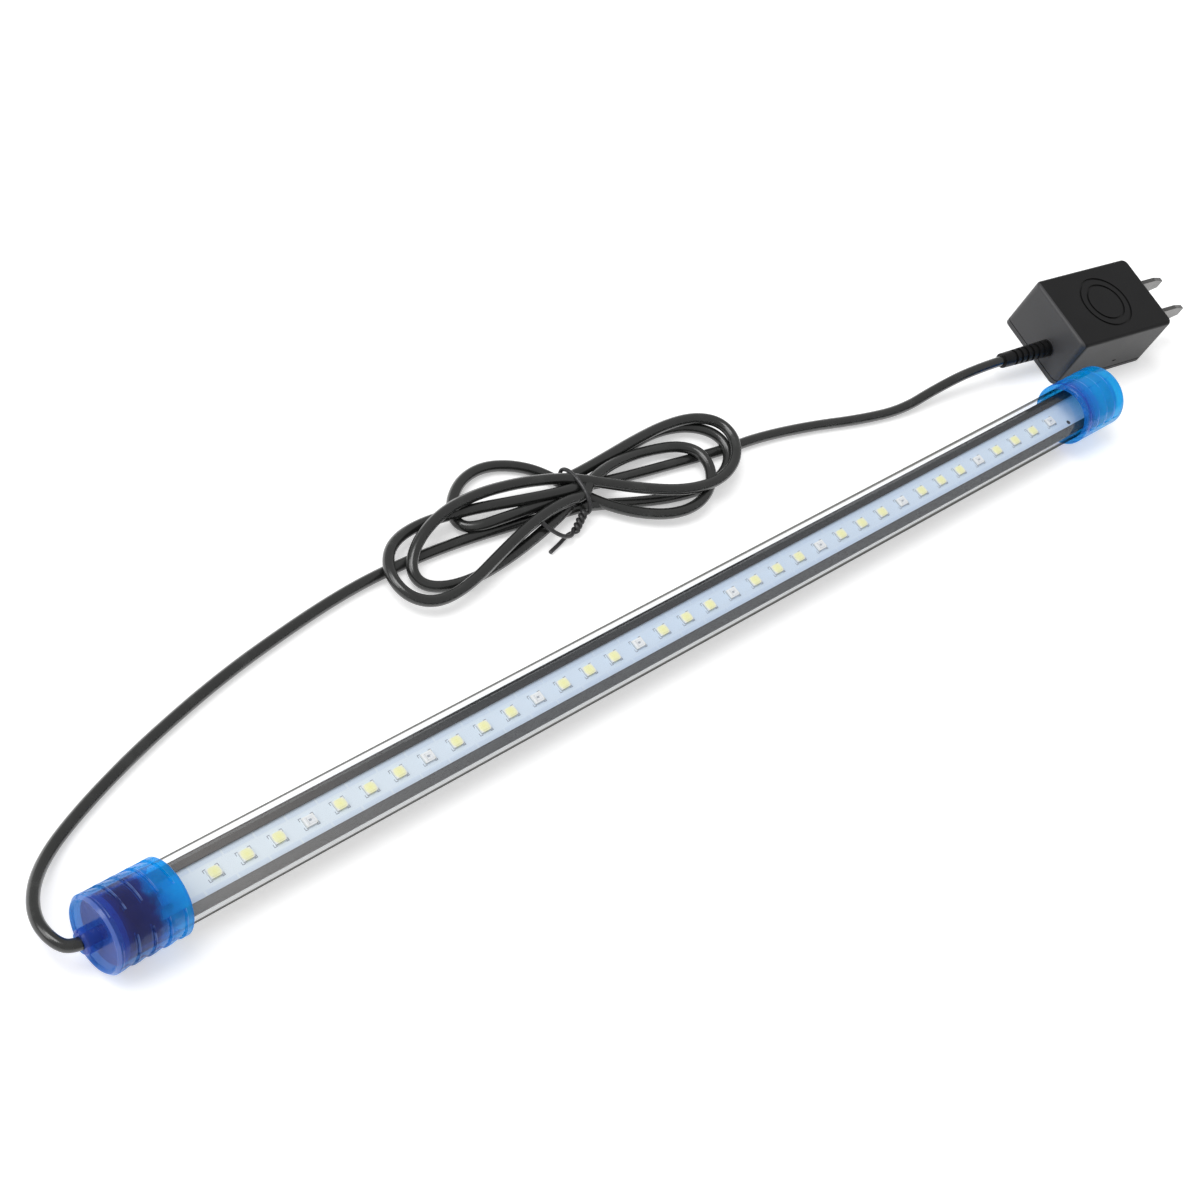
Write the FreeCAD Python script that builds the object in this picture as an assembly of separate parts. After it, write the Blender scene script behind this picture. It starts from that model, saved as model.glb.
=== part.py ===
import FreeCAD, Part
import math
import os

# Submersible LED aquarium light: a sealed clear tube with two blue end caps, an aluminium rail that
# carries the LED board, a low-voltage cord folded into a tied hank, and a plug-in mains adapter.
# Millimetres.  +X runs along the bar from the cable end to the far end, +Z is up, and the origin is
# under the middle of the bar on the surface that the two caps rest on.

Vec = FreeCAD.Vector

# ---- light bar -------------------------------------------------------------------------------
bar_length = 405.4
cap_length = 21.3
cap_end_wall = 2.6
cap_wall = 1.55                 # round the tube
cap_face_recess = 0.5
cap_rim_width = 1.3
cap_bevel = 0.8
cap_mouth_bevel = 0.35
collar_wall = 1.5
collar_length = 3.6
collar_rounding = 0.5
tube_wall = 1.2
socket_clearance = 0.1          # tube in cap, on the radius
gasket_thickness = 1.5
gasket_hole_clearance = 0.4     # round the cord, on the radius

grip_rows = 4
grip_sectors = 3
grip_pitch = 4.5
grip_first_row = 2.2            # from the end face to the first row
grip_row_length = 3.6
grip_depth = 0.5
grip_sector_angle = 84.0
grip_first_angle = 131.0        # from +Y towards +Z

# ---- rail, board and LEDs --------------------------------------------------------------------
rail_clearance = 0.25           # rail in tube, on the radius
rail_wall = 1.3
rail_floor = 1.2
rail_lip_thickness = 0.8
rail_side = 1.15                # rail outside the board's groove, on each side
rail_lip_width = 1.6            # each lip, from the groove's side over the board
board_length = 380.0
board_width = 12.0
board_thickness = 1.0
board_drop = 1.0                # board face below the tube's axis
board_centre_x = 3.7
board_groove_clearance = 0.15   # each side of the board
board_lip_gap = 0.1             # between board face and lips
board_hole_diameter = 1.2
board_hole_from_end = 11.1
board_hole_y = -3.1
led_count = 36
led_pitch = 9.8
led_group = 4                   # three white ones, then a blue one
led_length = 3.5
led_width = 2.8
led_height = 0.8
led_window_length = 2.5
led_window_width = 2.0
led_window_depth = 0.35
led_window_dome = 0.1           # the window stands this far above the body

# ---- sealing and leads inside the bar --------------------------------------------------------
seal_gap = 0.05
cable_seal_length = 11.0
far_seal_length = 3.4
jacket_inside = 14.3            # cord jacket inside the cable end, from the collar's tip
lead_diameter = 1.3
lead_spacing = 1.7
pad_spacing = 4.6
pad_from_board_end = 3.4
solder_diameter = 2.2
solder_height = 0.9

# ---- cord ------------------------------------------------------------------------------------
cord_diameter = 3.4
cord_bore_clearance = 0.1       # cord in the cap's collar, on the radius

# Where the cord lies between the cable end and the hank.  It leaves the collar, drops to the
# surface in one turn and comes back beside the bar.  x is measured from the collar's tip for the
# bend, and from the origin further on.
exit_bend = [(0.0, 0.0, 0.0), (-2.7, 0.5, 0.0), (-4.5, 2.7, -0.1), (-5.3, 5.9, -0.5), (-5.0, 10.0, -1.5),
             (-2.5, 15.2, -3.4), (2.4, 20.7, -5.8), (9.6, 25.8, -8.0)]
lead_points = [(-188.0, 30.0), (-176.0, 34.6), (-158.0, 40.4), (-130.0, 47.4), (-102.0, 52.0),
               (-82.0, 54.3), (-66.0, 54.8)]
tail_points = [(60.0, 43.8), (75.0, 42.6), (95.0, 38.6), (115.0, 33.0), (133.0, 29.6)]
tail_rise = [(149.0, 28.8, 4.4)]

# The hank: six loops folded to and fro and tied in the middle.  The outline goes round all of it.
hank_outline = [(1.0, 44.6), (-12.0, 42.4), (-32.0, 39.0), (-52.0, 36.6), (-66.0, 38.6), (-72.5, 48.0),
                (-69.5, 58.0), (-56.0, 64.0), (-40.0, 69.5), (-27.0, 74.5), (-12.0, 72.5), (-4.0, 62.0),
                (1.0, 58.4), (16.0, 60.6), (36.0, 63.4), (54.0, 61.0), (64.5, 51.5), (64.0, 39.0),
                (51.0, 31.5), (34.0, 27.4), (20.0, 31.0), (9.0, 40.0)]
hank_height = 7.6
tie_x = 1.0
tie_wire = 1.2
tie_bundle_width = 13.6
tie_bundle_clear = 0.05
tie_tail = [(1.0, 43.8), (-1.0, 41.2), (-7.0, 39.2), (-14.0, 37.2), (-20.0, 35.0)]
tie_tail_z = 1.1

# ---- mains adapter ---------------------------------------------------------------------------
adapter_length = 46.5
adapter_width = 29.3
adapter_height = 21.0
adapter_turn = -8.0             # degrees about +Z
adapter_corner_back = 2.3       # near corner, back from the bar's far end
adapter_bar_gap = 3.3           # near corner, clear of the cap's side
adapter_wall = 1.8
adapter_corner_radius = 2.4
adapter_edge_radius = 1.1
base_thickness = 1.6
base_lip_height = 1.6
base_lip_thickness = 1.2
base_fit = 0.1
seam_height = 0.4
seam_depth = 0.3
ring_diameters = (20.0, 14.4)
ring_groove_width = 0.8
ring_groove_depth = 0.4
side_slot = (1.6, 0.5, 0.7)     # length, depth and height of the pry slot in the near side
side_slot_x = 27.7
side_slot_z = 5.4

blade_spacing = 12.7
blade_width = 6.35
blade_thickness = 1.5
blade_length = 18.0
blade_taper_length = 5.0
blade_tip_width = 3.6
blade_inside = 4.5
blade_z = 12.5
blade_fit = 0.1
carrier_size = (4.0, 20.0, 9.0)

relief_length = 22.8
relief_y = -4.2
relief_z = 8.0
relief_tip_wall = 0.8
relief_base_wall = 1.3
relief_rings = 7
relief_ring_gap = 1.2
relief_ring_pitch = 2.65
relief_ring_depth = 0.55
relief_neck_wall = 0.7
relief_flange_width = 0.9       # past the neck, on the radius
relief_flange_thickness = 1.2
relief_fit = 0.1

power_board_thickness = 1.2
power_board_side_gap = 0.65     # to the case's side walls
power_board_end_gap = 2.15      # to its end walls
power_board_forward = 0.2       # its middle, from the case's middle towards the blades
transformer_core_size = (13.0, 10.0, 11.0)
transformer_window = (7.0, 3.2, 8.4)
transformer_back = 1.5          # its middle, from the board's middle towards the cord
transformer_winding_size = (6.8, 13.0, 8.2)
input_capacitor_size = (8.0, 10.5)
output_capacitor_size = (6.3, 9.0)
rectifier_size = (6.5, 5.0, 2.6)
chip_size = (5.0, 4.0, 1.6)
inner_wire_diameter = 1.4

# ---- values that follow ----------------------------------------------------------------------
groove_width = board_width + 2 * board_groove_clearance
rail_width = groove_width + 2 * rail_side
tube_bore = rail_width + 2 * rail_clearance
tube_diameter = tube_bore + 2 * tube_wall
cap_bore = tube_diameter + 2 * socket_clearance
cap_diameter = cap_bore + 2 * cap_wall
collar_bore = cord_diameter + 2 * cord_bore_clearance
collar_diameter = collar_bore + 2 * collar_wall
relief_neck_diameter = cord_diameter + 2 * relief_neck_wall
axis_z = cap_diameter / 2
bar_end = bar_length / 2
tube_end = bar_end - cap_end_wall - gasket_thickness
collar_tip = -bar_end - collar_length
board_face_z = axis_z - board_drop
board_under_z = board_face_z - board_thickness
board_start = board_centre_x - board_length / 2
cord_floor_z = cord_diameter / 2
lip_under_z = board_face_z + board_lip_gap
lip_top_z = lip_under_z + rail_lip_thickness


def write(name, solids):
    shape = solids[0] if len(solids) == 1 else Part.makeCompound(solids)
    shape.exportStep("parts/" + name + ".step")
    print(name, len(solids), "solid(s),", round(sum(solid.Volume for solid in solids), 1), "mm3")


def box(low, high):
    size = [b - a for a, b in zip(low, high)]
    return Part.makeBox(size[0], size[1], size[2], Vec(*low))


def rod_x(x0, x1, diameter, y=0.0, z=axis_z):
    return Part.makeCylinder(diameter / 2, x1 - x0, Vec(x0, y, z), Vec(1, 0, 0))


def only_solid(shape):
    solids = shape.removeSplitter().Solids
    if len(solids) != 1:
        raise ValueError("expected one solid, got %d" % len(solids))
    return solids[0]


def turned(profile, centre=Vec(0, 0, axis_z), angle=360.0, start=0.0):
    """A solid turned round the X direction from (x, radius) points, starting at +Y."""
    points = [Vec(x, radius, 0) + centre for x, radius in profile]
    face = Part.Face(Part.makePolygon(points + [points[0]]))
    solid = face.revolve(centre, Vec(1, 0, 0), angle)
    solid.rotate(centre, Vec(1, 0, 0), start)
    return solid


def rounded_edges(points, closed=False):
    """Straight runs joined by tangent arcs: an arc's radius is 0.45 of the shorter run beside it,
    divided by the tangent of half the turn."""
    points = [Vec(*point) for point in points]
    count = len(points)
    corners = range(count) if closed else range(1, count - 1)
    arcs = {}
    for i in corners:
        here = points[i]
        back = points[i - 1] - here
        ahead = points[(i + 1) % count] - here
        reach = 0.45 * min(back.Length, ahead.Length)
        half_turn = (math.pi - back.getAngle(ahead)) / 2
        radius = reach / math.tan(half_turn)
        start = here + back.normalize() * reach
        end = here + ahead.normalize() * reach
        inward = (back + ahead).normalize()
        middle = here + inward * (radius / math.cos(half_turn) - radius)
        arcs[i] = (start, middle, end, radius)
    edges = []
    last = arcs[count - 1][2] if closed else points[0]
    for i in corners:
        start, middle, end, radius = arcs[i]
        edges.append(Part.LineSegment(last, start).toShape())
        edges.append(Part.Arc(start, middle, end).toShape())
        last = end
    if not closed:
        edges.append(Part.LineSegment(last, points[-1]).toShape())
    return edges, [arcs[i][3] for i in corners]


def tube_along(points, diameter, report=None):
    """A round tube along a route of straight runs and tangent arcs."""
    edges, radii = rounded_edges(points)
    path = Part.Wire(edges)
    start = Vec(*points[0])
    direction = Vec(*points[1]) - start
    ring = Part.Wire([Part.makeCircle(diameter / 2, start, direction)])
    solid = path.makePipeShell([ring], True, False)
    if solid.Volume < 0:
        solid.reverse()
    if report:
        expected = math.pi * diameter ** 2 / 4 * path.Length
        print(report, "length", round(path.Length, 1), "volume / section x length",
              round(solid.Volume / expected, 4), "bend radii", [round(radius, 1) for radius in radii])
    return solid.Solids[0] if solid.Solids else Part.Solid(solid)


def rounded_box(low, high, corner_radius, top_radius):
    block = box(low, high)
    upright = [edge for edge in block.Edges if abs(edge.tangentAt(0).z) > 0.9]
    block = block.makeFillet(corner_radius, upright)
    if top_radius > 0:
        top = [edge for edge in block.Edges if edge.BoundBox.ZMin > high[2] - 1e-6]
        block = block.makeFillet(top_radius, top)
    return block


# ---- light bar -------------------------------------------------------------------------------
def cap_blank():
    """An end cap with its outer face at x = 0 and its mouth towards +X."""
    outer = cap_diameter / 2
    bore = cap_bore / 2
    rim = outer - cap_rim_width
    cap = turned([(cap_face_recess, 0), (cap_face_recess, rim - cap_face_recess), (0, rim),
                  (0, outer - cap_bevel), (cap_bevel, outer), (cap_length - cap_mouth_bevel, outer),
                  (cap_length, outer - cap_mouth_bevel), (cap_length, bore), (cap_end_wall, bore),
                  (cap_end_wall, 0)])
    for sector in range(grip_sectors):
        start = grip_first_angle + sector * 360.0 / grip_sectors
        for row in range(grip_rows):
            x = grip_first_row + row * grip_pitch
            wedge = [(x, outer), (x + grip_row_length, outer - grip_depth),
                     (x + grip_row_length, outer + grip_depth), (x, outer + grip_depth)]
            cap = cap.cut(turned(wedge, angle=grip_sector_angle, start=start))
    return cap


def make_cable_cap():
    collar = turned([(-collar_length, 0), (-collar_length, collar_diameter / 2 - collar_rounding),
                     (-collar_length + collar_rounding, collar_diameter / 2),
                     (cap_face_recess, collar_diameter / 2), (cap_end_wall, collar_diameter / 2),
                     (cap_end_wall, 0)])
    cap = cap_blank().fuse(collar)
    cap = cap.cut(rod_x(-collar_length - 1, cap_end_wall + 1, collar_bore))
    cap.translate(Vec(-bar_end, 0, 0))
    return only_solid(cap)


def make_far_cap():
    cap = cap_blank()
    cap.rotate(Vec(0, 0, axis_z), Vec(0, 0, 1), 180)
    cap.translate(Vec(bar_end, 0, 0))
    return only_solid(cap)


def make_rail():
    start = board_start
    end = start + board_length
    side = rail_width
    rail = rod_x(start, end, rail_width)
    rail = rail.cut(box((start - 1, -side, lip_top_z), (end + 1, side, axis_z + side)))
    groove = groove_width / 2
    rail = rail.cut(box((start - 1, -groove, board_under_z), (end + 1, groove, lip_under_z)))
    slot = groove - rail_lip_width
    rail = rail.cut(box((start - 1, -slot, board_under_z), (end + 1, slot, lip_top_z + 1)))
    hollow = rod_x(start - 1, end + 1, rail_width - 2 * rail_wall)
    floor_under_z = board_under_z - rail_floor
    hollow = hollow.cut(box((start - 2, -side, floor_under_z), (end + 2, side, axis_z + side)))
    return only_solid(rail.cut(hollow))


def make_board():
    board = box((board_start, -board_width / 2, board_under_z),
                (board_start + board_length, board_width / 2, board_face_z))
    hole_x = board_start + board_length - board_hole_from_end
    hole = Part.makeCylinder(board_hole_diameter / 2, board_thickness + 2,
                             Vec(hole_x, board_hole_y, board_under_z - 1))
    return board.cut(hole).Solids[0]


def led_positions(blue):
    first = board_centre_x - (led_count - 1) * led_pitch / 2
    for i in range(led_count):
        if (i % led_group == led_group - 1) == blue:
            yield first + i * led_pitch


def led_body(x):
    body = box((x - led_length / 2, -led_width / 2, board_face_z),
               (x + led_length / 2, led_width / 2, board_face_z + led_height))
    return body.cut(led_window(x)).Solids[0]


def led_window(x):
    top = board_face_z + led_height + led_window_dome
    bottom = board_face_z + led_height - led_window_depth
    return box((x - led_window_length / 2, -led_window_width / 2, bottom),
               (x + led_window_length / 2, led_window_width / 2, top))


def board_lead(side):
    jacket_end = collar_tip + jacket_inside
    pad_x = board_start + pad_from_board_end
    y = side * lead_spacing / 2
    pad_y = side * pad_spacing / 2
    over_pad = board_face_z + lead_diameter / 2
    return tube_along([(jacket_end, y, axis_z), (jacket_end + 4.0, y, axis_z),
                       (pad_x - 3.2, (y + pad_y) / 2, axis_z + 0.6), (pad_x - 1.0, pad_y, over_pad),
                       (pad_x + 1.0, pad_y, over_pad)], lead_diameter)


def solder_joint(side, lead):
    pad = Vec(board_start + pad_from_board_end, side * pad_spacing / 2, board_face_z)
    cone = Part.makeCone(solder_diameter / 2, solder_diameter / 4, solder_height, pad)
    return cone.cut(lead).Solids[0]


# ---- cord ------------------------------------------------------------------------------------
def lead_route():
    bend = [(collar_tip + x, y, axis_z + z) for x, y, z in exit_bend]
    return bend + [(x, y, cord_floor_z) for x, y in lead_points]


def tail_route(relief_tip, relief_back):
    flat = [(x, y, cord_floor_z) for x, y in tail_points]
    return flat + tail_rise + [tuple(relief_back), tuple(relief_tip)]


def make_hank(lead, tail, tie):
    outline = [(x, y, 0.0) for x, y in hank_outline]
    edges = rounded_edges(outline, closed=True)[0]
    hank = Part.Face(Part.Wire(edges)).extrude(Vec(0, 0, hank_height))
    groove = tie_frame(hank_height + 1, tie_bundle_width / 2 + 5, tie_bundle_clear)
    return only_solid(hank.cut(groove).cut(lead).cut(tail).cut(tie))


def tie_frame(top, half_width, clear):
    """The loop of the tie round the bundle, as a frame across the bundle's waist."""
    middle_y = sum(y for x, y in hank_outline if x == tie_x) / 2
    half_wire = tie_wire / 2 + clear
    outer = box((tie_x - half_wire, middle_y - half_width, 0.0),
                (tie_x + half_wire, middle_y + half_width, top))
    inner_half = tie_bundle_width / 2 - clear
    inner = box((tie_x - 2, middle_y - inner_half, tie_wire + clear),
                (tie_x + 2, middle_y + inner_half, hank_height - tie_wire))
    return outer.cut(inner)


def make_tie():
    frame = tie_frame(hank_height, tie_bundle_width / 2 + tie_wire, 0.0)
    wires = tube_along([(x, y, tie_tail_z) for x, y in tie_tail], 2 * tie_tail_z - 0.2)
    return only_solid(frame.fuse(wires))


# ---- mains adapter, in its own frame: +X towards the blades, origin under its cable face ------
def adapter_placement():
    corner = Vec(bar_end - adapter_corner_back, cap_diameter / 2 + adapter_bar_gap, 0)
    turn = FreeCAD.Rotation(Vec(0, 0, 1), adapter_turn)
    return FreeCAD.Placement(corner + turn.multVec(Vec(0, adapter_width / 2, 0)), turn)


def blade_centres():
    return [-blade_spacing / 2, blade_spacing / 2]


def make_case():
    half = adapter_width / 2
    case = rounded_box((0, -half, base_thickness), (adapter_length, half, adapter_height),
                       adapter_corner_radius, adapter_edge_radius)
    inner = rounded_box((adapter_wall, -half + adapter_wall, base_thickness - 1),
                        (adapter_length - adapter_wall, half - adapter_wall, adapter_height - adapter_wall),
                        adapter_corner_radius - adapter_wall / 2, 0)
    case = case.cut(inner)
    seam = box((-1, -half - 1, base_thickness), (adapter_length + 1, half + 1, base_thickness + seam_height))
    seam = seam.cut(rounded_box((seam_depth, -half + seam_depth, 0),
                                (adapter_length - seam_depth, half - seam_depth, adapter_height),
                                adapter_corner_radius - seam_depth, 0))
    case = case.cut(seam)
    for diameter in ring_diameters:
        floor = Vec(adapter_length / 2, 0, adapter_height - ring_groove_depth)
        ring = Part.makeCylinder((diameter + ring_groove_width) / 2, 2, floor)
        ring = ring.cut(Part.makeCylinder((diameter - ring_groove_width) / 2, 2, floor))
        case = case.cut(ring)
    length, depth, height = side_slot
    case = case.cut(box((side_slot_x - length / 2, -half - 1, side_slot_z - height / 2),
                        (side_slot_x + length / 2, -half + depth, side_slot_z + height / 2)))
    for y in blade_centres():
        case = case.cut(blade_slot(y, adapter_length - adapter_wall - 1, adapter_length + 1))
    case = case.cut(rod_x(-1, adapter_wall + 1, relief_neck_diameter + 2 * relief_fit, relief_y, relief_z))
    return only_solid(case)


def make_base():
    half = adapter_width / 2
    base = rounded_box((0, -half, 0), (adapter_length, half, base_thickness), adapter_corner_radius, 0)
    inset = adapter_wall + base_fit
    lip = rounded_box((inset, -half + inset, base_thickness - 0.5),
                      (adapter_length - inset, half - inset, base_thickness + base_lip_height),
                      adapter_corner_radius - adapter_wall / 2, 0)
    inset = inset + base_lip_thickness
    lip = lip.cut(box((inset, -half + inset, 0),
                      (adapter_length - inset, half - inset, base_thickness + base_lip_height + 1)))
    return only_solid(base.fuse(lip))


def blade_slot(y, x0, x1):
    half_thickness = blade_thickness / 2 + blade_fit
    half_width = blade_width / 2 + blade_fit
    return box((x0, y - half_thickness, blade_z - half_width), (x1, y + half_thickness, blade_z + half_width))


def make_blade(y):
    tip = adapter_length + blade_length
    shoulder = tip - blade_taper_length
    root = adapter_length - adapter_wall - blade_inside
    half = blade_width / 2
    half_tip = blade_tip_width / 2
    side = y - blade_thickness / 2
    corners = [(root, -half), (shoulder, -half), (tip, -half_tip), (tip, half_tip), (shoulder, half),
               (root, half)]
    outline = [Vec(x, side, blade_z + z) for x, z in corners]
    return Part.Face(Part.makePolygon(outline + [outline[0]])).extrude(Vec(0, blade_thickness, 0))


def make_carrier():
    length, width, height = carrier_size
    end = adapter_length - adapter_wall
    carrier = box((end - length, -width / 2, blade_z - height / 2), (end, width / 2, blade_z + height / 2))
    for y in blade_centres():
        carrier = carrier.cut(make_blade(y))
    return only_solid(carrier)


def make_relief():
    tip = -relief_length
    tip_radius = cord_diameter / 2 + relief_tip_wall
    base_radius = cord_diameter / 2 + relief_base_wall
    neck_radius = relief_neck_diameter / 2
    flange_radius = neck_radius + relief_flange_width
    flange_start = adapter_wall + relief_fit
    flange_end = flange_start + relief_flange_thickness
    relief = turned([(tip, 0), (tip, tip_radius), (0, base_radius), (0, neck_radius),
                     (flange_start, neck_radius), (flange_start, flange_radius),
                     (flange_end, flange_radius), (flange_end, 0)], centre=Vec(0, relief_y, relief_z))
    for ring in range(relief_rings):
        x = -1.2 - ring * relief_ring_pitch
        outer = base_radius + (base_radius - tip_radius) * x / relief_length
        groove = [(x - relief_ring_gap, outer - relief_ring_depth), (x, outer - relief_ring_depth),
                  (x, outer + 1), (x - relief_ring_gap, outer + 1)]
        relief = relief.cut(turned(groove, centre=Vec(0, relief_y, relief_z)))
    bore = rod_x(tip - 1, flange_end + 1, cord_diameter, relief_y, relief_z)
    return only_solid(relief.cut(bore))


def centred_box(x, y, z, size):
    length, width, height = size
    return box((x - length / 2, y - width / 2, z), (x + length / 2, y + width / 2, z + height))


def make_adapter_parts():
    parts = {"adapter_case": [make_case()], "adapter_base": [make_base()],
             "adapter_blades": [make_blade(y) for y in blade_centres()],
             "adapter_blade_carrier": [make_carrier()], "strain_relief": [make_relief()]}
    jacket_end = adapter_wall + relief_fit + relief_flange_thickness + 1.5
    parts["cord_adapter_end"] = [rod_x(-relief_length, jacket_end, cord_diameter, relief_y, relief_z)]

    length = adapter_length - 2 * (adapter_wall + power_board_end_gap)
    width = adapter_width - 2 * (adapter_wall + power_board_side_gap)
    middle = adapter_length / 2 + power_board_forward
    board_z = base_thickness + base_lip_height
    parts["power_board"] = [centred_box(middle, 0, board_z, (length, width, power_board_thickness))]
    top = board_z + power_board_thickness
    core_x = middle - transformer_back
    core = centred_box(core_x, 0, top, transformer_core_size)
    gap_width, gap_depth, gap_height = transformer_window
    low = top + (transformer_core_size[2] - gap_height) / 2
    core_side = transformer_core_size[1] / 2
    for y in (-core_side, core_side - gap_depth):
        core = core.cut(box((core_x - gap_width / 2, y, low),
                            (core_x + gap_width / 2, y + gap_depth, low + gap_height)))
    parts["transformer_core"] = [only_solid(core)]
    winding = centred_box(core_x, 0, low + 0.1, transformer_winding_size)
    parts["transformer_winding"] = winding.cut(core).Solids
    in_size, in_length = input_capacitor_size
    parts["input_capacitor"] = [Part.makeCylinder(in_size / 2, in_length, Vec(middle + 9.4, -5.5, top))]
    out_size, out_length = output_capacitor_size
    parts["output_capacitor"] = [Part.makeCylinder(out_size / 2, out_length, Vec(middle - 13.5, 6.5, top))]
    parts["bridge_rectifier"] = [centred_box(middle + 10.2, 4.5, top, rectifier_size)]
    parts["switching_chip"] = [centred_box(middle - 2, -8.8, top, chip_size)]

    wires = []
    blade_root = adapter_length - adapter_wall - blade_inside
    for y in blade_centres():
        foot_y = y * 1.3
        wires.append(tube_along([(blade_root, y, blade_z), (blade_root - 1.6, y, blade_z),
                                 (blade_root - 2.0, foot_y, blade_z - 2.5), (blade_root - 2.0, foot_y, top)],
                                inner_wire_diameter))
    parts["mains_wires"] = wires
    wires = []
    for side in (-1, 1):
        y = relief_y + side * 0.8
        foot_x = jacket_end + 3.6
        wires.append(tube_along([(jacket_end, y, relief_z), (jacket_end + 1.6, y, relief_z),
                                 (foot_x, y + side * 0.6, relief_z - 0.6), (foot_x, y + side * 0.6, top)],
                                inner_wire_diameter))
    parts["output_wires"] = wires
    return parts


# ---- build -----------------------------------------------------------------------------------
os.makedirs("parts", exist_ok=True)

parts = {}
parts["cable_end_cap"] = [make_cable_cap()]
parts["far_end_cap"] = [make_far_cap()]
tube_rod = rod_x(-tube_end, tube_end, tube_diameter)
parts["clear_tube"] = [tube_rod.cut(rod_x(-tube_end - 1, tube_end + 1, tube_bore))]

gasket_hole = cord_diameter + 2 * gasket_hole_clearance
cable_gasket = rod_x(-tube_end - gasket_thickness, -tube_end, tube_diameter)
parts["cable_end_gasket"] = [cable_gasket.cut(rod_x(-bar_end, 0, gasket_hole))]
parts["far_end_gasket"] = [rod_x(tube_end, tube_end + gasket_thickness, tube_diameter)]

jacket = rod_x(collar_tip, collar_tip + jacket_inside, cord_diameter)
parts["cord_cap_end"] = [jacket]
leads = {"board_red_lead": board_lead(1), "board_black_lead": board_lead(-1)}
seal = rod_x(-tube_end + seal_gap, -tube_end + cable_seal_length, tube_bore - 2 * seal_gap).cut(jacket)
for name, lead in leads.items():
    parts[name] = [lead]
    seal = seal.cut(lead)
parts["cable_end_sealant"] = [only_solid(seal)]
parts["far_end_sealant"] = [rod_x(tube_end - far_seal_length, tube_end - seal_gap, tube_bore - 2 * seal_gap)]
parts["board_solder_joints"] = [solder_joint(1, leads["board_red_lead"]),
                                solder_joint(-1, leads["board_black_lead"])]

parts["heat_sink_rail"] = [make_rail()]
parts["led_board"] = [make_board()]
parts["white_led_bodies"] = [led_body(x) for x in led_positions(False)]
parts["white_led_phosphors"] = [led_window(x) for x in led_positions(False)]
parts["blue_led_bodies"] = [led_body(x) for x in led_positions(True)]
parts["blue_led_lenses"] = [led_window(x) for x in led_positions(True)]

place = adapter_placement()
for name, solids in make_adapter_parts().items():
    for solid in solids:
        solid.Placement = place.multiply(solid.Placement)
    parts[name] = solids

relief_tip = place.multVec(Vec(-relief_length, relief_y, relief_z))
relief_back = place.multVec(Vec(-relief_length - 14.0, relief_y, relief_z))
cord_lead = tube_along(lead_route(), cord_diameter, "cord_lead")
cord_tail = tube_along(tail_route(relief_tip, relief_back), cord_diameter, "cord_tail")
twist_tie = make_tie()
parts["cord_lead"] = [only_solid(cord_lead.cut(jacket))]
parts["cord_tail"] = [cord_tail]
parts["cord_hank"] = [make_hank(cord_lead, cord_tail, twist_tie)]
parts["twist_tie"] = [twist_tie]

for name in sorted(parts):
    write(name, parts[name])
print("relief tip at", [round(value, 1) for value in relief_tip])
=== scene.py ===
"""A sealed aquarium light: a clear tube with an LED board, a tied cord and its mains adapter."""
import math

import bpy
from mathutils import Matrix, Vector


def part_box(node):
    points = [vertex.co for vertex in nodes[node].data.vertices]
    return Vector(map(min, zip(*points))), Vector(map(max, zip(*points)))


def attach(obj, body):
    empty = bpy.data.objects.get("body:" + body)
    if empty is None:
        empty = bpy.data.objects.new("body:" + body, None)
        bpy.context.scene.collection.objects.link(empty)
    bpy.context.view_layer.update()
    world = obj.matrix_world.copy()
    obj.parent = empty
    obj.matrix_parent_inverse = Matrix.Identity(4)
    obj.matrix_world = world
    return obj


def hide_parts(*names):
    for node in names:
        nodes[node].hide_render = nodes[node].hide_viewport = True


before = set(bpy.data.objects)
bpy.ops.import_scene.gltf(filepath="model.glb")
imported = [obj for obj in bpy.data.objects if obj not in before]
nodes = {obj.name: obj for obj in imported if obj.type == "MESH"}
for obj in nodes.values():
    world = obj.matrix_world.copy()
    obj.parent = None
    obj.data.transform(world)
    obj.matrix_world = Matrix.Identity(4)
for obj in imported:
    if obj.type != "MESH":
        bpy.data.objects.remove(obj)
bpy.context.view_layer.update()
MM = 0.001


# ---- LED board -------------------------------------------------------------------------------
# A long white printed board on an aluminium core, slid into the rail's two grooves.
# Its solder mask is glossy, with faint tracks under it and a grey printed corner at each LED.
class Wire:
    """The output of a shader node. Sums written with it add Math nodes."""

    def __init__(self, finish, socket):
        self.finish = finish
        self.socket = socket

    def maths(self, operation, *values):
        return self.finish.node("ShaderNodeMath", {"operation": operation}, dict(enumerate(values)))

    def __add__(self, other):
        return self.maths("ADD", self, other)

    def __sub__(self, other):
        return self.maths("SUBTRACT", self, other)

    def __rsub__(self, other):
        return self.maths("SUBTRACT", other, self)

    def __mul__(self, other):
        return self.maths("MULTIPLY", self, other)

    def __truediv__(self, other):
        return self.maths("DIVIDE", self, other)

    def __mod__(self, other):
        return self.maths("FLOORED_MODULO", self, other)

    def __lt__(self, other):
        return self.maths("LESS_THAN", self, other)

    def __gt__(self, other):
        return self.maths("GREATER_THAN", self, other)

    def __pow__(self, other):
        return self.maths("POWER", self, other)

    def __abs__(self):
        return self.maths("ABSOLUTE", self)

    __radd__ = __add__
    __rmul__ = __mul__


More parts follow.
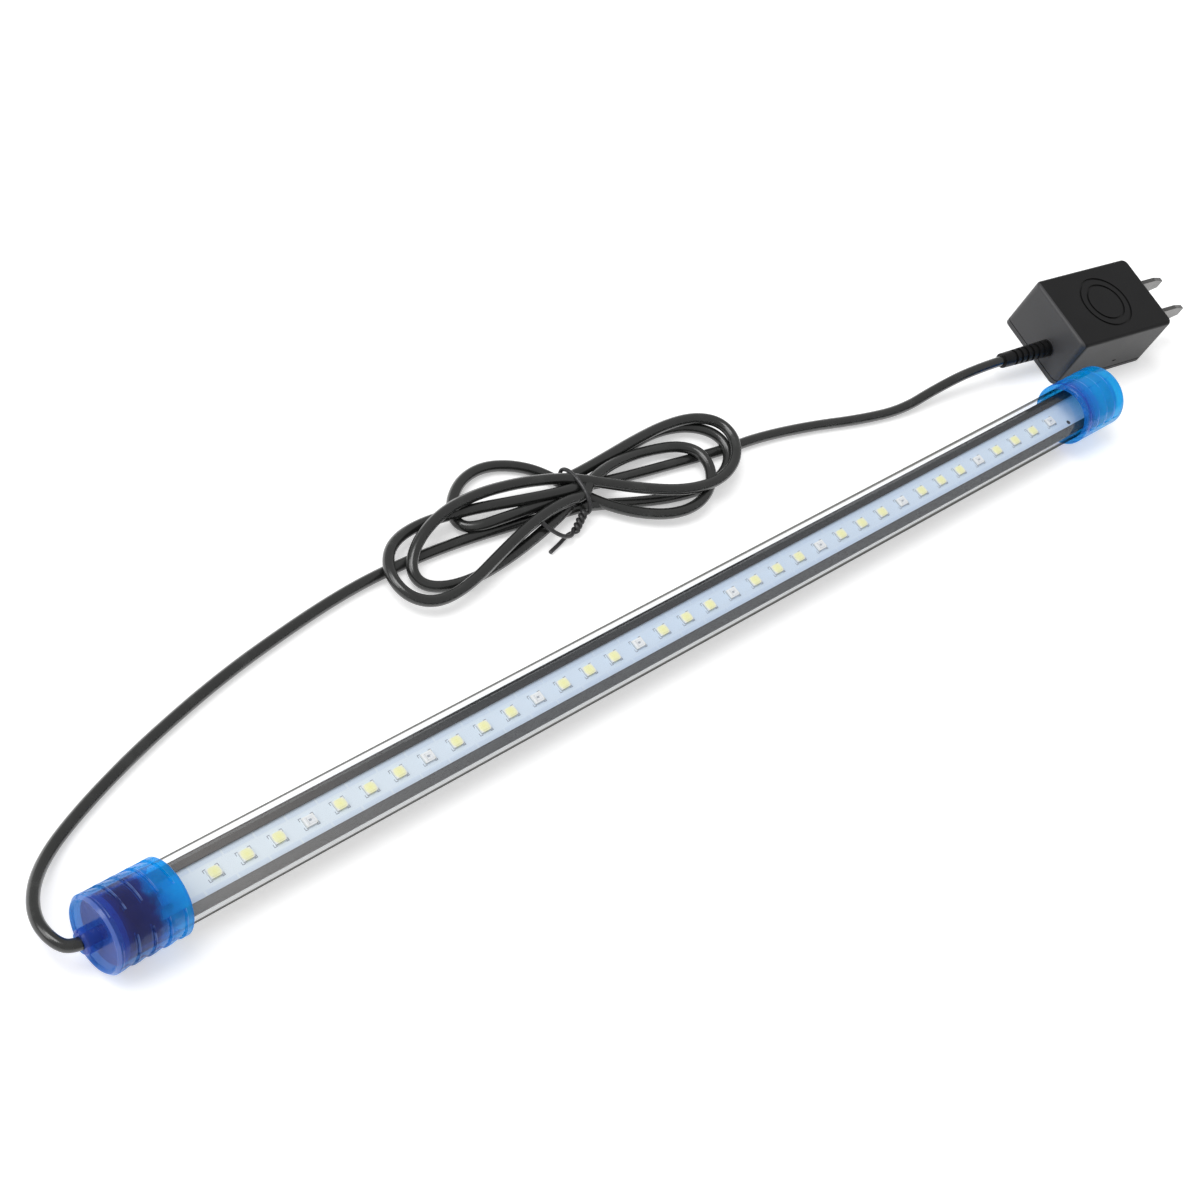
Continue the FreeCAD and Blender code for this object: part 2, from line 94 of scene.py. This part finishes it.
class Finish:
    """One material. Its node() adds any shader node and gives back that node's output."""

    def __init__(self, name):
        self.material = bpy.data.materials.new(name)
        self.material.use_nodes = True
        self.material.node_tree.nodes.clear()
        self.place = self.node("ShaderNodeTexCoord", out="Object")

    def node(self, kind, settings=None, sockets=None, out=0):
        tree = self.material.node_tree
        made = tree.nodes.new(kind)
        for name, value in (settings or {}).items():
            if name == "stops":
                stops = made.color_ramp.elements
                while len(stops) < len(value):
                    stops.new(1.0)
                for stop, (position, colour) in zip(stops, value):
                    stop.position = position
                    stop.color = (*colour, 1.0)
            else:
                setattr(made, name, value)
        for name, value in (sockets or {}).items():
            socket = made.inputs[name]
            if isinstance(value, Wire):
                tree.links.new(value.socket, socket)
            elif socket.type == "RGBA":
                socket.default_value = (*value, 1.0)
            else:
                socket.default_value = value
        return Wire(self, made.outputs[out]) if len(made.outputs) else None

    def axes(self):
        """x, y and z on the object, in millimetres."""
        scaled = self.node("ShaderNodeVectorMath", {"operation": "SCALE"},
                           {0: self.place, "Scale": 1 / MM})
        return [self.node("ShaderNodeSeparateXYZ", {}, {0: scaled}, out=axis) for axis in range(3)]

    def grain(self, size, detail=2.0, stretch=(1, 1, 1)):
        """Even noise whose grains are about this many millimetres across."""
        where = self.node("ShaderNodeVectorMath", {"operation": "MULTIPLY"},
                          {0: self.place, 1: tuple(1 / (MM * size * share) for share in stretch)})
        return self.node("ShaderNodeTexNoise", {}, {"Vector": where, "Scale": 1.0, "Detail": detail})

    def rise(self, value, low, high):
        """0 below low, 1 above high, and smooth between them."""
        return self.node("ShaderNodeMapRange", {"interpolation_type": "SMOOTHSTEP"},
                         {"Value": value, "From Min": low, "From Max": high})

    def blend(self, share, first, second):
        """A colour that goes from the first to the second."""
        return self.node("ShaderNodeMix", {"data_type": "RGBA"}, {0: share, 6: first, 7: second}, out=2)

    def ramp(self, value, stops):
        return self.node("ShaderNodeValToRGB", {"stops": stops}, {0: value})

    def bump(self, height, depth):
        """A normal that follows a height of 0 to 1 over this many millimetres."""
        return self.node("ShaderNodeBump", {}, {"Height": height, "Distance": depth * MM})

    def solid(self, sockets):
        return self.node("ShaderNodeBsdfPrincipled", {}, sockets)

    def done(self, shader):
        self.node("ShaderNodeOutputMaterial", {}, {"Surface": shader})
        return self.material


def dress(material, *names):
    """Gives CAD nodes their finish."""
    for name in names:
        for slot in nodes[name].material_slots:
            slot.material = material


board_low, board_high = (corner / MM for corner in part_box("led_board"))
led_pitch = 9.8
led_count = 36
first_led = (board_low.x + board_high.x) / 2 - (led_count - 1) * led_pitch / 2
mark_line = 0.2
mark_half = (2.35, 1.85)
mark_arm = 0.95
track_edges = ((2.7, 3.1), (5.0, 5.4))
track_gap = (0.35, 0.2)
hole_place = (board_high.x - 11.1, -3.1)
hole_shade_radius = 0.78
face_depth = 0.1
lit_end_length = 190

mask = Finish("board_white")
x, y, z = mask.axes()
along = abs((x - (first_led - led_pitch / 2)) % led_pitch - led_pitch / 2)
across = abs(y)
inside = (along < mark_half[0]) * (across < mark_half[1])
border = 1 - (along < mark_half[0] - mark_line) * (across < mark_half[1] - mark_line)
at_corner = (along > mark_half[0] - mark_arm) * (across > mark_half[1] - mark_arm)
last_led = first_led + (led_count - 1) * led_pitch
by_leds = (x > first_led - mark_half[0] - 1) * (x < last_led + mark_half[0] + 1)
marks = inside * border * at_corner * by_leds * (z > board_high.z - face_depth)
track = mask.rise(across, *track_edges[0]) * (1 - mask.rise(across, *track_edges[1]))
gap = mask.rise(along, led_pitch / 2 - track_gap[0], led_pitch / 2 - track_gap[1])
track = track * (1 - gap)
mottle = mask.grain(2.2)
# The board is painted whiter towards the cable end: painted light, as the light falls off along the bar.
painted_light_falloff = mask.rise(x, board_low.x, board_low.x + lit_end_length)
white = mask.blend(painted_light_falloff, (0.86, 0.93, 0.97), (0.68, 0.80, 0.95))
white = mask.blend(mottle * 0.3, white, (0.80, 0.86, 0.95))
white = mask.blend(track * 0.25, white, (0.50, 0.62, 0.86))
white = mask.blend(marks * 0.85, white, (0.24, 0.26, 0.31))
to_hole = (x - hole_place[0], y - hole_place[1])
from_hole = (to_hole[0] * to_hole[0] + to_hole[1] * to_hole[1]) ** 0.5
# The dark ring round the hole is painted shade, standing in for the shade down the hole.
white = mask.blend((from_hole < hole_shade_radius) * 0.9, white, (0.04, 0.04, 0.045))
height = track + mask.grain(0.25) * 0.1
dress(mask.done(mask.solid({
    "Base Color": white,
    "Roughness": 0.28 + 0.12 * mottle,
    "Normal": mask.bump(height, 0.03),
    "Coat Weight": 0.2,
})), "led_board")


# ---- LEDs ------------------------------------------------------------------------------------
# Thirty-six small moulded white packages soldered in one line, every fourth one a blue one.
# A white one is filled with pale yellow phosphor gel; a blue one with clear gel over its chip.
body_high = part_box("white_led_bodies")[1] / MM
body_half = (1.75, 1.4)
notch_size = 0.55
foot_reach = 0.28
foot_height = 0.35


def led_package(name, glow):
    """Moulded white resin, with the gel's glow painted round the window as painted light."""
    package = Finish(name)
    x, y, z = package.axes()
    from_led = (x - (first_led - led_pitch / 2)) % led_pitch - led_pitch / 2
    at_foot = package.rise(abs(from_led), body_half[0] - foot_reach, body_half[0] - foot_reach + 0.06)
    foot = at_foot * (z < body_high.z - foot_height)
    notch = (from_led - y > sum(body_half) - notch_size) * (z > body_high.z - face_depth)
    painted_gel_glow = 1 - package.rise((from_led * from_led + y * y) ** 0.5, 1.45, 1.95)
    resin = package.blend(package.grain(0.5), (0.88, 0.88, 0.85), (0.96, 0.96, 0.93))
    # The gel's colour painted on the resin round the window is painted light, the gel's glow.
    resin = package.blend(painted_gel_glow * 0.75, resin, glow)
    resin = package.blend(notch * 0.6, resin, (0.45, 0.47, 0.44))
    return package.done(package.solid({
        "Base Color": package.blend(foot, resin, (0.62, 0.62, 0.60)),
        "Metallic": foot,
        "Roughness": 0.42 - 0.15 * foot,
        "Normal": package.bump(package.grain(0.12), 0.01),
    }))


dress(led_package("white_led_resin", (0.98, 0.96, 0.50)), "white_led_bodies")
dress(led_package("blue_led_resin", (0.93, 0.94, 0.95)), "blue_led_bodies")

phosphor = Finish("led_phosphor")
x, y, z = phosphor.axes()
from_led = (x - (first_led - led_pitch / 2)) % led_pitch - led_pitch / 2
from_middle = (from_led * from_led + y * y) ** 0.5
gel = phosphor.ramp(from_middle / 1.6, [(0.0, (1.0, 0.98, 0.46)), (0.7, (1.0, 1.0, 0.60)),
                                       (1.0, (1.0, 1.0, 0.76))])
speck = phosphor.grain(0.07, detail=0.0)
dress(phosphor.done(phosphor.solid({
    "Base Color": phosphor.blend(speck * 0.2, gel, (0.98, 0.88, 0.40)),
    "Roughness": 0.22 + 0.1 * speck,
    "Normal": phosphor.bump(speck, 0.01),
    "Coat Weight": 0.3,
})), "white_led_phosphors")

chip_half = (0.42, 0.3)
clear_gel = Finish("led_clear")
x, y, z = clear_gel.axes()
from_led = (x - (first_led - led_pitch / 2)) % led_pitch - led_pitch / 2
chip = (abs(from_led) < chip_half[0]) * (abs(y) < chip_half[1])
wire = (abs(y - 0.12) < 0.05) * (from_led > chip_half[0]) * (from_led < 1.0)
split = abs(from_led + 0.75) < 0.06
cup = clear_gel.blend(clear_gel.grain(0.3), (0.86, 0.87, 0.88), (0.95, 0.96, 0.97))
cup = clear_gel.blend(chip, cup, (0.42, 0.45, 0.50))
cup = clear_gel.blend((wire + split) * 0.6, cup, (0.42, 0.40, 0.34))
dress(clear_gel.done(clear_gel.solid({
    "Base Color": cup,
    "Roughness": 0.12 + 0.2 * chip,
    "Normal": clear_gel.bump(clear_gel.grain(0.4), 0.02),
    "Coat Weight": 0.9,
})), "blue_led_lenses")


# ---- heat-sink rail --------------------------------------------------------------------------
# The board's carrier, a grey anodised aluminium extrusion with a lip over each long edge.
# Extruding leaves fine lines along it. It slides into the tube and is held by the end seals.
rail_low, rail_high = (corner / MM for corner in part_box("heat_sink_rail"))
anodised = Finish("aluminium_rail")
x, y, z = anodised.axes()
lines = anodised.grain(0.12, detail=3.0, stretch=(400, 1, 1))
cloud = anodised.grain(14.0, stretch=(3, 1, 1))
dark = anodised.blend(lines, (0.019, 0.020, 0.021), (0.038, 0.040, 0.042))
# The rail is painted paler near the cable end: painted light, as the light falls off along the bar.
painted_lit_end = 1 - anodised.rise(x, rail_low.x, rail_low.x + 120)
dark = anodised.blend(painted_lit_end * 0.8, dark, (0.19, 0.175, 0.16))
dress(anodised.done(anodised.solid({
    "Base Color": anodised.blend(cloud * 0.15, dark, (0.12, 0.12, 0.125)),
    "Metallic": 0.15,
    "Roughness": 0.5 + 0.2 * lines,
    "Specular IOR Level": 0.3,
    "Normal": anodised.bump(lines, 0.02),
})), "heat_sink_rail")


# ---- leads and solder ------------------------------------------------------------------------
# The cord's red and black leads leave its jacket inside the cable end and curve on to the board.
# Each is soldered to a pad there, in a bright cone of tin solder.
def insulation(name, colour, worn):
    lead = Finish(name)
    shade = lead.grain(0.8)
    return lead.done(lead.solid({
        "Base Color": lead.blend(shade, colour, worn),
        "Roughness": 0.32 + 0.14 * shade,
        "Normal": lead.bump(lead.grain(0.25), 0.015),
    }))


red_insulation = insulation("red_insulation", (0.50, 0.018, 0.012), (0.66, 0.04, 0.025))
black_insulation = insulation("black_insulation", (0.012, 0.012, 0.013), (0.028, 0.028, 0.03))
dress(red_insulation, "board_red_lead", "output_wires")
dress(black_insulation, "board_black_lead", "mains_wires")

solder = Finish("solder")
frost = solder.grain(0.3)
dress(solder.done(solder.solid({
    "Base Color": solder.blend(frost, (0.55, 0.56, 0.58), (0.78, 0.78, 0.80)),
    "Metallic": 1.0,
    "Roughness": 0.18 + 0.25 * frost,
    "Normal": solder.bump(frost, 0.04),
})), "board_solder_joints")


# ---- seals -----------------------------------------------------------------------------------
# Black compound is poured round the leads at the cable end, and clear silicone closes the other.
# A soft milky gasket lies between each tube end and the bottom of its cap.
potting = Finish("potting")
pour = potting.grain(1.6, detail=4.0)
dress(potting.done(potting.solid({
    "Base Color": potting.blend(pour, (0.012, 0.012, 0.014), (0.035, 0.035, 0.04)),
    "Roughness": 0.25 + 0.3 * pour,
    "Normal": potting.bump(pour, 0.15),
})), "cable_end_sealant")

silicone = Finish("silicone")
haze = silicone.grain(1.2)
dress(silicone.done(silicone.solid({
    "Base Color": silicone.blend(haze, (0.60, 0.66, 0.72), (0.76, 0.80, 0.84)),
    "Roughness": 0.38 + 0.2 * haze,
    "Normal": silicone.bump(haze, 0.05),
})), "cable_end_gasket", "far_end_gasket", "far_end_sealant")


# ---- clear tube ------------------------------------------------------------------------------
# The light's body, a glossy clear acrylic tube with a thick wall, glued into both caps.
# It shows as thin bright reflections along it and as a faint grey line at each side.
tube = Finish("clear_plastic")
tube_low, tube_high = (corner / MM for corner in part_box("clear_tube"))
tube_radius = (tube_high.z - tube_low.z) / 2
tube_wall = 1.2
x, y, z = tube.axes()
height = z - (tube_low.z + tube_high.z) / 2
from_axis = (y * y + height * height) ** 0.5
outside = from_axis > tube_radius - tube_wall / 2
ripple = tube.grain(9.0, detail=1.0, stretch=(5, 1, 1))
skin = tube.bump(ripple, 0.02)
edge = tube.node("ShaderNodeLayerWeight", {}, {"Blend": 0.5}, out="Facing")
see_through = tube.node("ShaderNodeBsdfTransparent", {}, {"Color": (0.985, 0.99, 0.995)})
thick_wall = tube.node("ShaderNodeBsdfTransparent", {}, {"Color": (0.40, 0.40, 0.39)})
gloss = tube.node("ShaderNodeBsdfGlossy", {}, {"Color": (0.95, 0.97, 1.0), "Roughness": 0.06, "Normal": skin})
shine = tube.node("ShaderNodeFresnel", {}, {"IOR": 1.49})
rim = tube.rise(edge, 0.66, 0.78) * outside
wall = tube.node("ShaderNodeMixShader", {}, {0: rim, 1: see_through, 2: thick_wall})
dress(tube.done(tube.node("ShaderNodeMixShader", {}, {0: shine * (0.08 - 0.06 * rim), 1: wall, 2: gloss})),
      "clear_tube")


# ---- end caps --------------------------------------------------------------------------------
# Two push-fit caps moulded in translucent blue plastic, with four rows of finger grips.
# The cable cap's colour is painted deep where the black compound lies behind it, as painted shade, and paler
# at its mouth, as painted light through the tube; the far cap's is painted paler in its middle, as painted
# light from the white board behind it, and darker towards its mouth. Lighter blue on the grip steps and the
# face's rim is painted highlight.
highlight_blue = (0.26, 0.42, 0.86)
grip_first = 2.2
grip_pitch = 4.5
grip_length = 3.6
grip_sector = math.radians(84)
grip_turn = math.radians(11)
cap_length = 21.3
face_rim = 0.9


def cap_plastic(name, see_through, stops):
    """Translucent blue over the length of a cap, from its end face to its mouth, its colour carrying painted
    shade, painted light and painted highlights.
    """
    cap_low, cap_high = (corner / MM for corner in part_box(name))
    at_far_end = cap_low.x > 0
    plastic = Finish("blue_" + name)
    x, y, z = plastic.axes()
    mouth = cap_low.x if at_far_end else cap_high.x
    from_face = cap_length - abs(x - mouth)
    cloud = plastic.grain(3.5)
    # The ramp along the cap paints shade where dark parts lie behind it and light where light comes through.
    colour = plastic.ramp(from_face / cap_length + 0.24 * (cloud - 0.5), stops)
    height = z - (cap_low.z + cap_high.z) / 2
    from_axis = (y * y + height * height) ** 0.5
    outer = (cap_high.z - cap_low.z) / 2
    step = abs((from_face - grip_first) % grip_pitch - grip_length) < 0.16
    turn = plastic.node("ShaderNodeMath", {"operation": "ARCTAN2"}, {0: height, 1: y})
    in_sector = (turn - grip_turn) % (2 * math.pi / 3) < grip_sector
    step = step * in_sector * (from_face > 1.0) * (from_face < cap_length - 1.5)
    rim = (from_axis > outer - face_rim) * (from_face < 0.7) * (from_face > -0.2)
    # The last millimetre at the mouth is painted azure, as painted light from the tube.
    lip = plastic.rise(from_face, cap_length - 1.1, cap_length - 0.7)
    # Lighter blue on the grip step edges and the end face's rim is a painted highlight.
    painted_highlight = step * plastic.rise(cloud, 0.35, 0.6) * 0.55 + rim * 0.3
    colour = plastic.blend(painted_highlight, colour, highlight_blue)
    colour = plastic.blend(lip * 0.6, colour, (0.01, 0.30, 0.85))
    body = plastic.solid({
        "Base Color": colour,
        "Roughness": 0.14 + 0.08 * cloud,
        "Normal": plastic.bump(plastic.grain(1.5), 0.02),
        "Coat Weight": 0.6,
        "Coat Roughness": 0.05,
    })
    tint = plastic.node("ShaderNodeBsdfTransparent", {}, {"Color": see_through})
    cover = 0.34 + 0.16 * cloud + 0.2 * (step + rim)
    dress(plastic.done(plastic.node("ShaderNodeMixShader", {}, {0: cover, 1: tint, 2: body})), name)


# Cable cap: painted shade over the black compound, painted light towards the mouth.
cap_plastic("cable_end_cap", (0.15, 0.62, 0.98),
            [(0.0, (0.05, 0.10, 0.46)), (0.14, (0.035, 0.045, 0.32)), (0.28, (0.03, 0.025, 0.14)),
             (0.56, (0.03, 0.035, 0.20)), (0.66, (0.0, 0.24, 0.72)), (1.0, (0.0, 0.48, 0.95))])
# Far cap: painted light in the middle, darker towards the mouth.
cap_plastic("far_end_cap", (0.14, 0.72, 0.99),
            [(0.0, (0.0, 0.36, 0.88)), (0.22, (0.0, 0.46, 0.96)), (0.55, (0.0, 0.48, 0.97)),
             (0.76, (0.01, 0.28, 0.82)), (0.90, (0.02, 0.12, 0.60)), (1.0, (0.02, 0.08, 0.50))])


# ---- cord ------------------------------------------------------------------------------------
# A round two-core lead in black soft PVC. It leaves the cap's collar, drops and turns back beside
# the bar, is folded into six flat loops, and runs on to the adapter's strain relief.
cord_diameter = 3.4
on_floor = cord_diameter / 2
collar_tip = (-206.3, 0.0, 10.4)
exit_bend = [(0.0, 0.0, 0.0), (-2.7, 0.5, 0.0), (-4.5, 2.7, -0.1), (-5.3, 5.9, -0.5), (-5.0, 10.0, -1.5),
             (-2.5, 15.2, -3.4), (2.4, 20.7, -5.8), (9.6, 25.8, -8.0)]
lead_points = [(-188.0, 30.0), (-176.0, 34.6), (-158.0, 40.4), (-130.0, 47.4), (-102.0, 52.0),
               (-82.0, 54.3), (-66.0, 54.8), (-45.0, 53.8), (-24.0, 51.2), (-10.0, 48.6)]
leaving_hank = [(12.0, 50.4, 3.6), (26.0, 49.0, on_floor), (43.0, 46.4, on_floor)]
tail_points = [(60.0, 43.8), (75.0, 42.6), (95.0, 38.6), (115.0, 33.0), (133.0, 29.6)]
tail_rise = [(149.0, 29.9, 4.4), (165.4, 28.9, 7.7), (179.3, 27.2, 8.0)]

# Seven strands pass the tie side by side, four below and three above: (y, z) of each, in order.
tie_x = 1.0
low_row = 2.9
high_row = 5.85
strands = [(46.4, low_row), (49.8, low_row), (54.9, high_row), (56.6, low_row), (53.2, low_row),
           (48.1, high_row), (51.5, high_row)]
# Each loop: which side of the tie it goes, its reach, half width, how late its limbs spread, the
# bow and the droop of its middle line, and its height at five places from limb to limb.
loops = [
    (1, 59.3, 15.6, 1.4, 0.9, -2.6, (1.7, 1.7, 4.6, 1.8, 1.7)),
    (-1, 64.5, 11.5, 0.8, 1.4, -3.1, (3.6, 1.7, 2.7, 8.2, 6.4)),
    (1, 61.1, 16.3, 1.2, -4.7, -8.7, (7.6, 7.0, 7.4, 5.4, 4.5)),
    (-1, 40.3, 10.4, 0.0, 5.1, 3.8, (4.0, 5.2, 1.7, 1.7, 1.7)),
    (1, 47.8, 15.0, 0.5, -4.2, -7.2, (3.6, 4.3, 5.4, 2.4, 6.2)),
    (-1, 72.4, 20.4, 3.0, 2.6, -1.4, (7.0, 4.6, 5.3, 3.7, 6.2)),
]
points_per_loop = 14


def height_at(share, heights):
    """The height between evenly spaced places, at a share of the way round the loop."""
    place = share * (len(heights) - 1)
    before = min(int(place), len(heights) - 2)
    return heights[before] + (heights[before + 1] - heights[before]) * (place - before)


route = [tuple(start + step for start, step in zip(collar_tip, point)) for point in exit_bend]
route += [(x, y, on_floor) for x, y in lead_points]
for loop, (side, reach, half_width, spread, bow, droop, heights) in enumerate(loops):
    (start_y, start_z), (end_y, end_z) = strands[loop], strands[loop + 1]
    route.append((tie_x, start_y, start_z))
    for step in range(1, points_per_loop - 1):
        share = (step + 0.5) / points_per_loop
        rise = math.sin(math.pi * share)
        out = rise * rise
        middle = start_y + (end_y - start_y) * share + 4 * bow * out * (1 - out) + droop * out
        limb = half_width * 2 * rise ** (spread + 1) * math.cos(math.pi * share)
        route.append((tie_x + side * reach * out, middle - limb,
                      height_at(share, (start_z, *heights, end_z))))
route.append((tie_x, *strands[-1]))
route += leaving_hank
route += [(x, y, on_floor) for x, y in tail_points]
route += tail_rise


def laid_curve(name, points, diameter):
    """A round cord or wire along a smooth NURBS spline through control points in millimetres."""
    curve = bpy.data.curves.new(name, "CURVE")
    curve.dimensions = "3D"
    spline = curve.splines.new("NURBS")
    spline.points.add(len(points) - 1)
    for point, place in zip(spline.points, points):
        point.co = (*(value * MM for value in place), 1.0)
        point.radius = diameter / 2 * MM
    spline.order_u = 3
    spline.use_endpoint_u = True
    spline.resolution_u = 10
    curve.bevel_depth = 1.0
    curve.bevel_resolution = 7
    curve.use_fill_caps = True
    piece = bpy.data.objects.new(name, curve)
    bpy.context.scene.collection.objects.link(piece)
    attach(piece, "root")
    return piece


jacket = Finish("cord_jacket")
fine = jacket.grain(0.22)
scuff = jacket.grain(7.0, detail=4.0)
worn = jacket.rise(scuff, 0.52, 0.72)
jacket.done(jacket.solid({
    "Base Color": jacket.blend(worn, (0.016, 0.0168, 0.016), (0.026, 0.027, 0.026)),
    "Roughness": 0.20 + 0.12 * worn + 0.05 * fine,
    "Coat Weight": 0.5,
    "Coat Roughness": 0.12,
    "Normal": jacket.bump(fine + scuff, 0.02),
}))
dress(jacket.material, "cord_cap_end", "cord_adapter_end")

cord = laid_curve("mains_cord", route, cord_diameter)
cord.data.materials.append(jacket.material)
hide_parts("cord_lead", "cord_hank", "cord_tail")


# ---- twist tie -------------------------------------------------------------------------------
# A thin steel wire in a dark plastic coat goes once round the seven strands. Its two ends are
# twisted together beside them; one curls back over the cords and the other lies along the floor.
tie_diameter = 1.25
ring_middle = (51.4, 4.25)
ring_half = (7.9, 3.75)
ring_points = 12
twist_start = (-1.8, 44.2, 4.6)
twist_end = (-6.6, 41.2, 2.0)
twist_turns = 2.0
twist_points = 15
twist_radius = 0.82
tail_over = [(-9.0, 40.0, 2.2), (-12.6, 40.2, 3.6), (-15.6, 41.8, 5.2), (-17.8, 44.4, 6.4),
             (-18.8, 47.0, 6.9), (-19.0, 49.0, 6.6)]
tail_along = [(-8.6, 41.6, 1.0), (-11.8, 40.6, 0.8), (-14.6, 39.8, 0.7), (-18.0, 39.0, 0.7)]


def twisted(phase):
    """One of the two wires of the twist, from the bundle outwards."""
    start, end = Vector(twist_start), Vector(twist_end)
    line = (end - start).normalized()
    side = line.cross(Vector((0, 0, 1))).normalized()
    up = side.cross(line)
    places = []
    for step in range(twist_points):
        share = step / (twist_points - 1)
        turn = phase + share * twist_turns * 2 * math.pi
        offset = side * math.cos(turn) + up * math.sin(turn)
        places.append(tuple(start.lerp(end, share) + offset * twist_radius))
    return places


ring = []
for step in range(ring_points):
    turn = math.radians(205 - 320 * step / (ring_points - 1))
    lean = 0.7 * math.cos(turn) + 0.4 * math.sin(turn)
    ring.append((tie_x - 0.4 + lean, ring_middle[0] + ring_half[0] * math.cos(turn),
                 ring_middle[1] + ring_half[1] * math.sin(turn)))
wire_route = tail_over[::-1] + twisted(0.0)[::-1] + ring + twisted(math.pi) + tail_along
tie = laid_curve("bundle_tie", wire_route, tie_diameter)
coat = Finish("tie_coating")
kinks = coat.grain(0.9)
coat.done(coat.solid({
    "Base Color": coat.blend(kinks, (0.020, 0.020, 0.021), (0.055, 0.055, 0.057)),
    "Roughness": 0.24 + 0.12 * kinks,
    "Normal": coat.bump(kinks, 0.08),
}))
tie.data.materials.append(coat.material)
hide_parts("twist_tie")


# ---- mains adapter ---------------------------------------------------------------------------
# A small black moulded box: a case with a stepped ring in its top, a base let in under it, and two flat
# plated blades. Mould grain covers it, its cable face is painted a lighter grey as painted light, and a fine
# seam shows where the base meets the case.
adapter_corner = (200.4, 13.7)
adapter_turn = math.radians(-8)
lit_face_depth = 1.2
moulded = Finish("adapter_plastic")
spark = moulded.grain(0.16, detail=1.0)
patch = moulded.grain(9.0, detail=3.0)
x, y, z = moulded.axes()
to_corner = (x - adapter_corner[0], y - adapter_corner[1])
from_cable_face = to_corner[0] * math.cos(adapter_turn) + to_corner[1] * math.sin(adapter_turn)
# The cable face is painted lighter grey: painted light on the face that turns to the light.
painted_lit_face = (from_cable_face < lit_face_depth) * (from_cable_face > -0.5)
black = moulded.blend(patch, (0.004, 0.004, 0.0045), (0.009, 0.009, 0.0095))
moulded.done(moulded.solid({
    "Base Color": moulded.blend(painted_lit_face * 0.8, black, (0.07, 0.07, 0.073)),
    "Roughness": 0.32 + 0.10 * patch + 0.05 * spark,
    "Specular IOR Level": 0.26,
    "Normal": moulded.bump(spark, 0.018),
}))
dress(moulded.material, "adapter_case", "adapter_base", "adapter_blade_carrier", "strain_relief")

plating = Finish("plated_brass")
brushed = plating.grain(0.10, detail=3.0, stretch=(60, 1, 1))
tarnish = plating.grain(3.0, detail=4.0)
dress(plating.done(plating.solid({
    "Base Color": plating.blend(tarnish, (0.10, 0.10, 0.098), (0.24, 0.235, 0.23)),
    "Metallic": 1.0,
    "Roughness": 0.22 + 0.2 * brushed,
    "Normal": plating.bump(brushed, 0.015),
})), "adapter_blades")


# ---- inside the adapter ----------------------------------------------------------------------
# A brown board carries the switching supply: a transformer, two capacitors, a rectifier and its
# chip. Short wires join it to the blades and to the cord. The closed case hides it all.
def inner_finish(name, low, high, grain, roughness, *pieces):
    part = Finish(name)
    tone = part.grain(grain)
    dress(part.done(part.solid({
        "Base Color": part.blend(tone, low, high),
        "Roughness": roughness + 0.15 * tone,
        "Normal": part.bump(tone, 0.03),
    })), *pieces)


inner_finish("circuit_board", (0.22, 0.14, 0.05), (0.34, 0.23, 0.09), 1.5, 0.45, "power_board")
inner_finish("ferrite", (0.03, 0.03, 0.032), (0.08, 0.08, 0.085), 0.4, 0.55, "transformer_core")
inner_finish("winding_tape", (0.66, 0.48, 0.03), (0.82, 0.64, 0.07), 2.0, 0.25, "transformer_winding")
inner_finish("capacitor_sleeve", (0.012, 0.02, 0.09), (0.03, 0.05, 0.16), 1.2, 0.25,
             "input_capacitor", "output_capacitor")
inner_finish("chip_black", (0.012, 0.012, 0.013), (0.03, 0.03, 0.031), 0.3, 0.5,
             "bridge_rectifier", "switching_chip")


# ---- floor, light and camera -----------------------------------------------------------------
# The light lies on a plain white studio floor, under a wide soft box and an even white room.
floor_half = 20.0
floor_mesh = bpy.data.meshes.new("studio_floor")
floor_mesh.from_pydata([(-floor_half, -floor_half, 0), (floor_half, -floor_half, 0),
                        (floor_half, floor_half, 0), (-floor_half, floor_half, 0)], [], [(0, 1, 2, 3)])
floor = bpy.data.objects.new("studio_floor", floor_mesh)
bpy.context.scene.collection.objects.link(floor)
paper = Finish("studio_paper")
floor_mesh.materials.append(paper.done(paper.solid({
    "Base Color": paper.blend(paper.grain(40.0), (0.93, 0.93, 0.93), (0.95, 0.95, 0.95)),
    "Roughness": 0.9,
    "Specular IOR Level": 0.1,
    "Emission Color": (1.0, 1.0, 1.0),
    "Emission Strength": 0.40,
})))

room = bpy.data.worlds.new("white_room")
room.use_nodes = True
room.node_tree.nodes["Background"].inputs["Color"].default_value = (1.0, 1.0, 1.0, 1.0)
room.node_tree.nodes["Background"].inputs["Strength"].default_value = 0.50
bpy.context.scene.world = room


def soft_light(name, towards_light, strength, width):
    """Even light from one side, as from a far soft box this many degrees wide."""
    light = bpy.data.lights.new(name, "SUN")
    light.energy = strength
    light.angle = math.radians(width)
    lamp = bpy.data.objects.new(name, light)
    lamp.rotation_euler = Vector(towards_light).to_track_quat("Z", "Y").to_euler()
    bpy.context.scene.collection.objects.link(lamp)


soft_light("left_box", (-1.0, 0.6, 0.8), 0.8, 35)
soft_light("top_box", (-0.35, 0.35, 1.0), 1.1, 30)

lens = bpy.data.cameras.new("studio_camera")
lens.lens = 69.887
lens.sensor_width = 36.0
camera = bpy.data.objects.new("studio_camera", lens)
camera.location = (-0.42122, -0.14152, 0.50126)
camera.rotation_euler = tuple(math.radians(angle) for angle in (35.58, -22.19, -40.58))
bpy.context.scene.collection.objects.link(camera)
bpy.context.scene.camera = camera
bpy.context.scene.view_settings.view_transform = "Standard"
